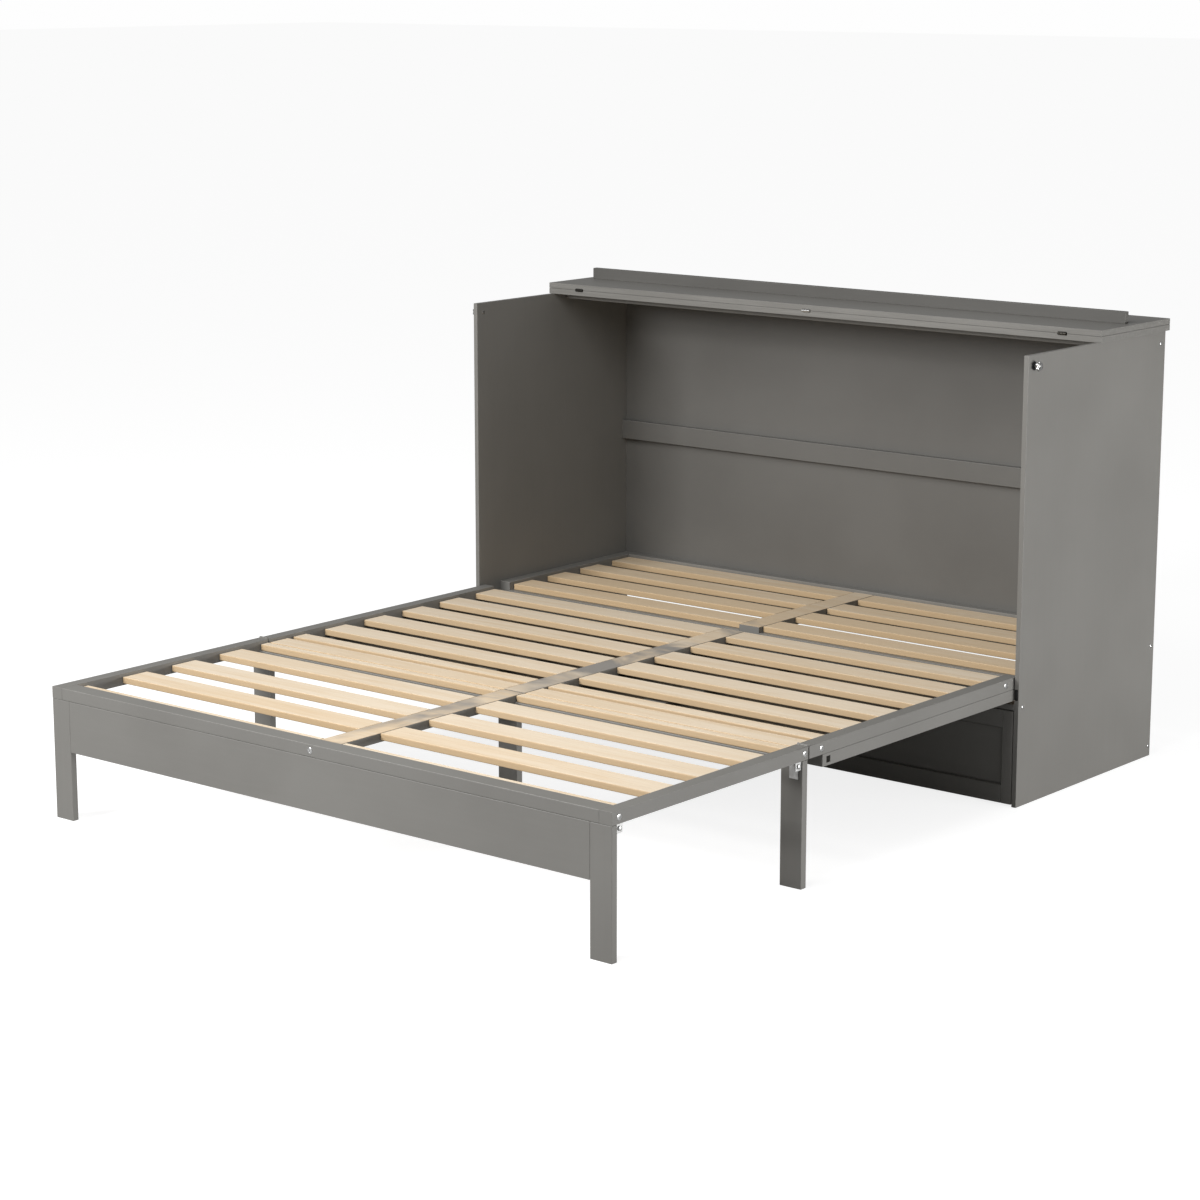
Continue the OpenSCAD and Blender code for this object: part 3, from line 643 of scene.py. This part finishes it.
def addPanelRing(bm, outer, profile, place):
    # a moulding swept round a rectangle with mitred corners; profile holds (inset, depth)
    left, right, bottom, top = outer
    corners = ((left, bottom, 1, 1), (right, bottom, -1, 1), (right, top, -1, -1), (left, top, 1, -1))
    loops = [[bm.verts.new(place(x + inset * sx, y + inset * sy, depth)) for x, y, sx, sy in corners]
             for inset, depth in profile]
    for near, far in zip(loops, loops[1:]):
        for k in range(4):
            after = (k + 1) % 4
            bm.faces.new((near[k], near[after], far[after], far[k]))
    return loops[-1]


def mouldingProfile():
    # an eased edge, a straight shoulder down to a groove, then the flat panel
    ease, groove, deep = moulding["ease"], moulding["groove"], moulding["panelDepth"]
    turns = [math.pi / 2 * k / 4 for k in range(5)]
    points = [(ease * (1 - math.cos(turn)), ease * math.sin(turn)) for turn in turns]
    wall, small = points[-1][0], 0.3 * ease
    return points + [(wall, deep + groove), (wall + groove, deep + groove), (wall + groove, deep + small),
                     (wall + groove + small, deep), (moulding["bead"], deep)]


drawerFront = {
    "railHeight": 48 * mm,
    "stileWidth": 33 * mm,
    "edge": 1.2 * mm,
    "backIn": 1 * mm,       # the panel stands this far in from the frame's back
}


def makeDrawerFront():
    low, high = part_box("drawer_frame")[0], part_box("drawer_front")[1]
    bm = bmesh.new()
    bead, gap, edge = moulding["bead"], moulding["jointGap"], drawerFront["edge"]
    stile, rail = drawerFront["stileWidth"] - bead, drawerFront["railHeight"] - bead
    for x0, x1 in ((low.x, low.x + stile), (high.x - stile, high.x)):
        addBoard(bm, (x0, low.y, low.z), (x1, high.y, high.z), edge)
    for z0, z1 in ((low.z, low.z + rail), (high.z - rail, high.z)):
        addBoard(bm, (low.x + stile + gap, low.y, z0), (high.x - stile - gap, high.y, z1), edge)

    def place(x, z, depth):
        return (x, low.y + depth, z)

    outer = (low.x + stile, high.x - stile, low.z + rail, high.z - rail)
    back = high.y - low.y - drawerFront["backIn"]
    bm.faces.new(addPanelRing(bm, outer, mouldingProfile(), place))
    bm.faces.new(addPanelRing(bm, outer, [(0, 0), (0, back)], place)[::-1])
    bmesh.ops.remove_doubles(bm, verts=bm.verts[:], dist=1e-7)
    finishPiece(bm, "drawerFront", paintAlong[0], "drawer", ("drawer_front", "drawer_frame"),
                30)


makeDrawerFront()

door = {
    "edge": 0.8 * mm,
    "panelEdge": 0.6 * mm,
    "bead": 10 * mm,        # width of the hollow moulding round each panel
    "lip": 0.5 * mm,        # its small flat along the frame
    "lipIn": (0.4 * mm, 0.2 * mm),   # how deep that flat starts and ends
}


def makeDoor():
    softenedNode("door_rails", "doorRails", edge=door["edge"])
    softenedNode("door_panels", "doorPanels", edge=door["panelEdge"])
    # a moulding round each panel, on the side that faces out when the bed is closed
    bm = bmesh.new()
    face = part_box("door_rails")[0].z
    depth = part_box("door_panels")[0].z - face
    width, lip = door["bead"], door["lip"]
    start, end = door["lipIn"]
    profile = [(0, start), (lip, end)]
    for k in range(7):
        angle = math.pi / 2 * k / 6
        profile.append((lip + (width - lip) * math.sin(angle), end + (depth - end) * (1 - math.cos(angle))))
    profile += [(width, depth), (0, depth), (0, start)]
    for low, high in solidBoxes("door_panels"):
        addPanelRing(bm, (low.x, high.x, low.y, high.y), profile, lambda x, y, down: (x, y, face + down))
    bmesh.ops.remove_doubles(bm, verts=bm.verts[:], dist=1e-7)
    finishPiece(bm, "doorMouldings", paintAlong[0], "door", (), 30)


makeDoor()


drawerEdges = {"walls": 0.8 * mm, "bottom": 0.5 * mm, "runners": 0.3 * mm}


def makeDrawerBox():
    softenedNode("drawer_walls", "drawerWalls", drawerLining, drawerEdges["walls"])
    softenedNode("drawer_bottom", "drawerBottom", drawerLining, drawerEdges["bottom"])
    for node, name in (("drawer_runners_fixed", "drawerRunnersFixed"),
                       ("drawer_runners_moving", "drawerRunnersMoving")):
        softenedNode(node, name, hingeSteel, drawerEdges["runners"])


makeDrawerBox()
print("fronts and drawer made")


# hardware

boltSpread = 1.3      # the bolts' heads are this much wider than the plain discs of the nodes


def sideAndFoot(low, high):
    # which way a round piece on the bed's side points, and where it starts
    side = 1 if low.x > 0 else -1
    centre = (low + high) / 2
    return side, Vector((low.x if side > 0 else high.x, centre.y, centre.z))


def makeBolts():
    for node, name in (("mid_bolts", "middleBolts"), ("front_bolts", "frontBolts")):
        bm = bmesh.new()
        for low, high in solidBoxes(node):
            centre, size = (low + high) / 2, high - low
            if size.y < size.x:      # the one at the foot
                addBolt(bm, (centre.x, high.y, centre.z), -yAxis, size.x / 2 * boltSpread, size.y)
            else:
                side, start = sideAndFoot(low, high)
                addBolt(bm, start, xAxis * side, size.y / 2 * boltSpread, size.x)
        finishPiece(bm, name, boltSteel, nodeBody[node], (node,))


makeBolts()


def makeSideScrews():
    bm = bmesh.new()
    for low, high in solidBoxes("side_screws"):
        side, start = sideAndFoot(low, high)
        radius = (high.y - low.y) / 2
        addTurned(bm, start, xAxis * side,
                  [(radius, 0, ""), (radius, 0.5 * mm, ""), (radius * 0.93, 1.1 * mm, ""),
                   (radius * 0.7, 1.6 * mm, ""), (radius * 0.42, 1.8 * mm, ""),
                   (radius * 0.38, 1.8 * mm, "cross"), (radius * 0.3, 0.9 * mm, "cross")], 48)
    finishPiece(bm, "sideScrews", boltSteel, "cabinet", ("side_screws",))


makeSideScrews()

knob = {
    "stem": 4.5 * mm,
    "stemEdge": 0.6 * mm,
    "thick": 7 * mm,
    "rim": 1.4 * mm,        # rounding of the star's rim
    "dish": 1.6 * mm,       # how deep the screw sits
    "screw": 3.4 * mm,
    "screwHeight": 1.1 * mm,
}


def makeKnobs():
    for side, sign in (("left", -1), ("right", 1)):
        low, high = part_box(f"lock_knob_{side}")
        centre = (low + high) / 2
        radius = (high.z - low.z) / 2
        inner, outer = (low.x, high.x) if sign > 0 else (high.x, low.x)
        thick, rim = knob["thick"], knob["rim"]
        start = (outer - sign * thick, centre.y, centre.z)
        bm = bmesh.new()
        addPin(bm, (inner, centre.y, centre.z), start, knob["stem"], knob["stemEdge"])
        addTurned(bm, start, xAxis * sign,
                  [(radius * 0.5, 0, ""), (radius * 0.9, 0.3 * mm, "star"), (radius, rim, "star"),
                   (radius, thick - rim, "star"), (radius - rim * 0.35, thick - rim * 0.35, "star"),
                   (radius - rim * 1.2, thick, "star"), (radius * 0.55, thick, ""),
                   (radius * 0.50, thick - 0.5 * mm, ""), (radius * 0.46, thick - knob["dish"], "")], 72)
        addScrew(bm, (outer - sign * knob["dish"], centre.y, centre.z), xAxis * sign, knob["screw"],
                 knob["screwHeight"])
        finishPiece(bm, f"lockKnob{side.title()}", knobSteel, f"{side}_lock", (f"lock_knob_{side}",))


makeKnobs()


def makeLockBushes():
    bm = bmesh.new()
    for low, high in solidBoxes("lock_bushes"):
        side, start = sideAndFoot(low, high)
        radius, thick = (high.z - low.z) / 2, high.x - low.x
        addTurned(bm, start, xAxis * side,
                  [(radius, 0, ""), (radius, thick * 0.6, ""), (radius * 0.94, thick, ""),
                   (radius * 0.62, thick * 1.1, ""), (radius * 0.6, thick * 0.5, "")], 48)
    finishPiece(bm, "lockBushes", blackNylon, "cabinet", ("lock_bushes",))


makeLockBushes()


pivotEdge = 0.8 * mm


def makePivots():
    softenedNode("pivot_blocks", "pivotBlocks", blackNylon, pivotEdge)
    bm = bmesh.new()
    for low, high in solidBoxes("door_pivot_pins"):
        middle = (low + high) / 2
        addPin(bm, (low.x, middle.y, middle.z), (high.x, middle.y, middle.z), (high.z - low.z) / 2,
               pivotEdge)
    finishPiece(bm, "doorPivotPins", hingeSteel, "door", ("door_pivot_pins",))


makePivots()

hinge = {
    "barrel": 3.5 * mm,
    "pin": 1.8 * mm,
    "pinPast": 0.8 * mm,    # the pin stands this far out of the barrel
    "leaf": 2 * mm,
    "leafStart": 0.6,       # where the leaf meets the barrel, as a share of its radius
    "share": 0.18,          # half of the middle knuckle, as a share of the length
    "gap": 0.3 * mm,
    "screw": 2.9 * mm,
    "screwHeight": 0.35 * mm,
    "screwOut": 0.32,       # how far the screws are from the middle, as a share of the length
    "cornerEdge": 0.5 * mm,
    "apart": 60 * mm,       # solids closer than this belong to one hinge
}


def hingeLine(joint):
    found = next(j for j in frame["joints"] if j["name"] == joint)
    return found["pos_m"][1], found["pos_m"][2]


def leafLevel(node):
    # height of the lowest large flat in the node
    bm = weldedCopy(node)
    flats = [f for f in bm.faces if abs(f.normal.z) > 0.99 and f.calc_area() > 1e-4]
    level = min(f.calc_center_median().z for f in flats)
    bm.free()
    return level


def hingeGroups(node):
    # the node's solids, sorted into its hinges from low X to high X
    groups = {}
    for low, high in solidBoxes(node):
        middle = (low.x + high.x) / 2
        key = min(groups, key=lambda x: abs(x - middle), default=None)
        if key is None or abs(key - middle) > hinge["apart"]:
            key = middle
            groups[key] = []
        groups[key].append((low, high))
    return groups.values()


def addKnuckle(bm, x0, x1, y, z):
    radius, rounding = hinge["barrel"], 0.3 * mm
    addTurned(bm, (x0, y, z), xAxis, [(radius - rounding, 0, ""), (radius, rounding, ""),
                                      (radius, x1 - x0 - rounding, ""), (radius - rounding, x1 - x0, "")], 32)


def makeHinges(node, name, finishes, slotName, outerLeaf, axisY, axisZ, screwRows, up):
    # leaves with their screws; up is the side of the leaf that the screws are driven from
    bm = bmesh.new()
    thick, leafZ = hinge["leaf"], leafLevel(node)
    for place, boxes in enumerate(hingeGroups(node)):
        before = set(bm.faces)
        x0, x1 = min(b[0].x for b in boxes), max(b[1].x for b in boxes)
        y0, y1 = min(b[0].y for b in boxes), max(b[1].y for b in boxes)
        middle, length = (x0 + x1) / 2, x1 - x0
        half = length * hinge["share"]
        towards = 1 if abs(y1 - axisY) > abs(y0 - axisY) else -1
        near = axisY + towards * hinge["barrel"] * hinge["leafStart"]
        far = y1 if towards > 0 else y0
        addBoard(bm, (x0, min(near, far), leafZ), (x1, max(near, far), leafZ + thick), hinge["cornerEdge"], 2)
        if outerLeaf:
            past = hinge["pinPast"]
            addKnuckle(bm, x0, middle - half - hinge["gap"], axisY, axisZ)
            addKnuckle(bm, middle + half + hinge["gap"], x1, axisY, axisZ)
            addPin(bm, (x0 - past, axisY, axisZ), (x1 + past, axisY, axisZ), hinge["pin"],
                   hinge["cornerEdge"])
        else:
            addKnuckle(bm, middle - half, middle + half, axisY, axisZ)
        level = leafZ + thick if up > 0 else leafZ
        for share in screwRows:
            for k in (-1, 1):
                spot = (middle + k * length * hinge["screwOut"], near + (far - near) * share, level)
                addScrew(bm, spot, zAxis * up, hinge["screw"], hinge["screwHeight"])
        for face in set(bm.faces) - before:
            face.material_index = place % len(finishes)
    piece = finishPiece(bm, name, finishes[0], nodeBody[node], (node,))
    for finish in finishes[1:]:
        piece.data.materials.append(finish)


def makeAllHinges():
    lidSteel = (darkSteel, boltSteel, darkSteel)      # only the middle one is bright
    lidRows, seamRows = (0.45, 0.8), (0.35, 0.8)
    lid, seam = hingeLine("lid_fold"), hingeLine("section_fold")
    makeHinges("lid_hinges_fixed", "lidHingesFixed", lidSteel, "zinc_steel", True, *lid, lidRows, 1)
    makeHinges("lid_hinges_moving", "lidHingesMoving", lidSteel, "zinc_steel", False, *lid, lidRows, -1)
    for node, name, outerLeaf in (("mid_fold_hinges", "middleFoldHinges", True),
                                  ("front_fold_hinges", "frontFoldHinges", False)):
        makeHinges(node, name, (paintAlong[1],), "grey_paint", outerLeaf, *seam, seamRows, 1)


makeAllHinges()


# folding legs' ironwork

legIron = {
    "pinHead": 5.2 * mm,
    "headThick": 1.6 * mm,
    "earBelow": 4 * mm,     # solids thinner than this are ears, the others are pins
    "earEdge": 0.7 * mm,
    "flange": 20 * mm,      # the ear's flange, up against the frame
    "flangeThick": 2 * mm,
    "smallEdge": 0.5 * mm,
    "legEarEdge": 0.4 * mm,
}


def makeLegBrackets():
    bm = bmesh.new()
    for low, high in solidBoxes("leg_brackets"):
        size, centre = high - low, (low + high) / 2
        if size.x < legIron["earBelow"]:
            addBoard(bm, low, high, legIron["earEdge"], 2)
            side = 1 if centre.x > 0 else -1
            x0, x1 = sorted((centre.x, centre.x - side * legIron["flange"]))
            addBoard(bm, (x0, low.y, high.z - legIron["flangeThick"]), (x1, high.y, high.z),
                     legIron["smallEdge"], 2)
        else:
            head, thick = legIron["pinHead"], legIron["headThick"]
            addPin(bm, (low.x, centre.y, centre.z), (high.x, centre.y, centre.z), size.z / 2,
                   legIron["smallEdge"])
            for x, way in ((low.x, -1), (high.x, 1)):
                addTurned(bm, (x - way * 0.2 * mm, centre.y, centre.z), xAxis * way,
                          [(head, 0, ""), (head, 0.6 * mm, ""), (head * 0.7, thick, ""),
                           (head * 0.3, thick * 1.1, "")], 32)
    finishPiece(bm, "legBrackets", earSteel, "front_section", ("leg_brackets",))


makeLegBrackets()


def makeLegEars():
    for node, name in (("foot_leg_ears", "footLegEars"), ("mid_leg_ear_left", "middleLegEarLeft"),
                       ("mid_leg_ear_centre", "middleLegEarCentre"),
                       ("mid_leg_ear_right", "middleLegEarRight")):
        softenedNode(node, name, earSteel, legIron["legEarEdge"])


makeLegEars()
print("hardware made")


# floor and light

studio = {
    "reach": 60,            # metres from the middle to the floor's edge
    "floor": (0.42, 0.42, 0.42, 1),
    "floorGlow": 0.83,      # the white that the camera sees besides, as on a lit sweep
    "skySeen": 0.99,
    "skyStrength": 0.30,
    "soft": [      # place, width, height, watts, what it is turned to
        ((-1.7, -4.4, 2.6), 1.6, 1.6, 176, (0, -0.2, 0.3)),       # key, from the foot's left
        ((5.2, 1.5, 0.36), 2.6, 0.6, 178, (0.8, 0.3, 0.4)),       # low fill along the right side
        ((0.4, -1.5, 2.5), 1.6, 1.6, 40, (0, 0, 0.3)),            # over the deck
    ],
}


def seenByCamera(tree, lit, seen):
    ray = addNode(tree, "LightPath").outputs["Is Camera Ray"]
    return remap(tree, ray, 0, 1, lit, seen)


def makeFloor():
    reach = studio["reach"]
    mesh = bpy.data.meshes.new("floor")
    corners = [(-reach, -reach, 0), (reach, -reach, 0), (reach, reach, 0), (-reach, reach, 0)]
    mesh.from_pydata(corners, [], [(0, 1, 2, 3)])
    floor = bpy.data.objects.new("floor", mesh)
    bpy.context.scene.collection.objects.link(floor)
    finish, tree, principled = newFinish("studioFloor", Roughness=1.0, Base_Color=studio["floor"],
                                         Specular_IOR_Level=0.0, Emission_Color=(1, 1, 1, 1))
    tree.links.new(seenByCamera(tree, 0, studio["floorGlow"]), principled.inputs["Emission Strength"])
    mesh.materials.append(finish)


def makeLights():
    world = bpy.data.worlds.new("studio")
    world.use_nodes = True
    background = world.node_tree.nodes["Background"]
    background.inputs["Color"].default_value = (1, 1, 1, 1)
    world.node_tree.links.new(seenByCamera(world.node_tree, studio["skyStrength"], studio["skySeen"]),
                              background.inputs["Strength"])
    bpy.context.scene.world = world
    for place, width, height, watts, target in studio["soft"]:
        light = bpy.data.lights.new("softbox", "AREA")
        light.shape = "RECTANGLE"
        light.size = width
        light.size_y = height
        light.energy = watts
        lamp = bpy.data.objects.new("softbox", light)
        lamp.location = place
        lamp.rotation_mode = "QUATERNION"
        lamp.rotation_quaternion = (Vector(target) - Vector(place)).to_track_quat("-Z", "Y")
        lamp.visible_camera = False
        bpy.context.scene.collection.objects.link(lamp)


makeFloor()
makeLights()
bpy.context.scene.view_settings.view_transform = "Standard"
print("studio made")
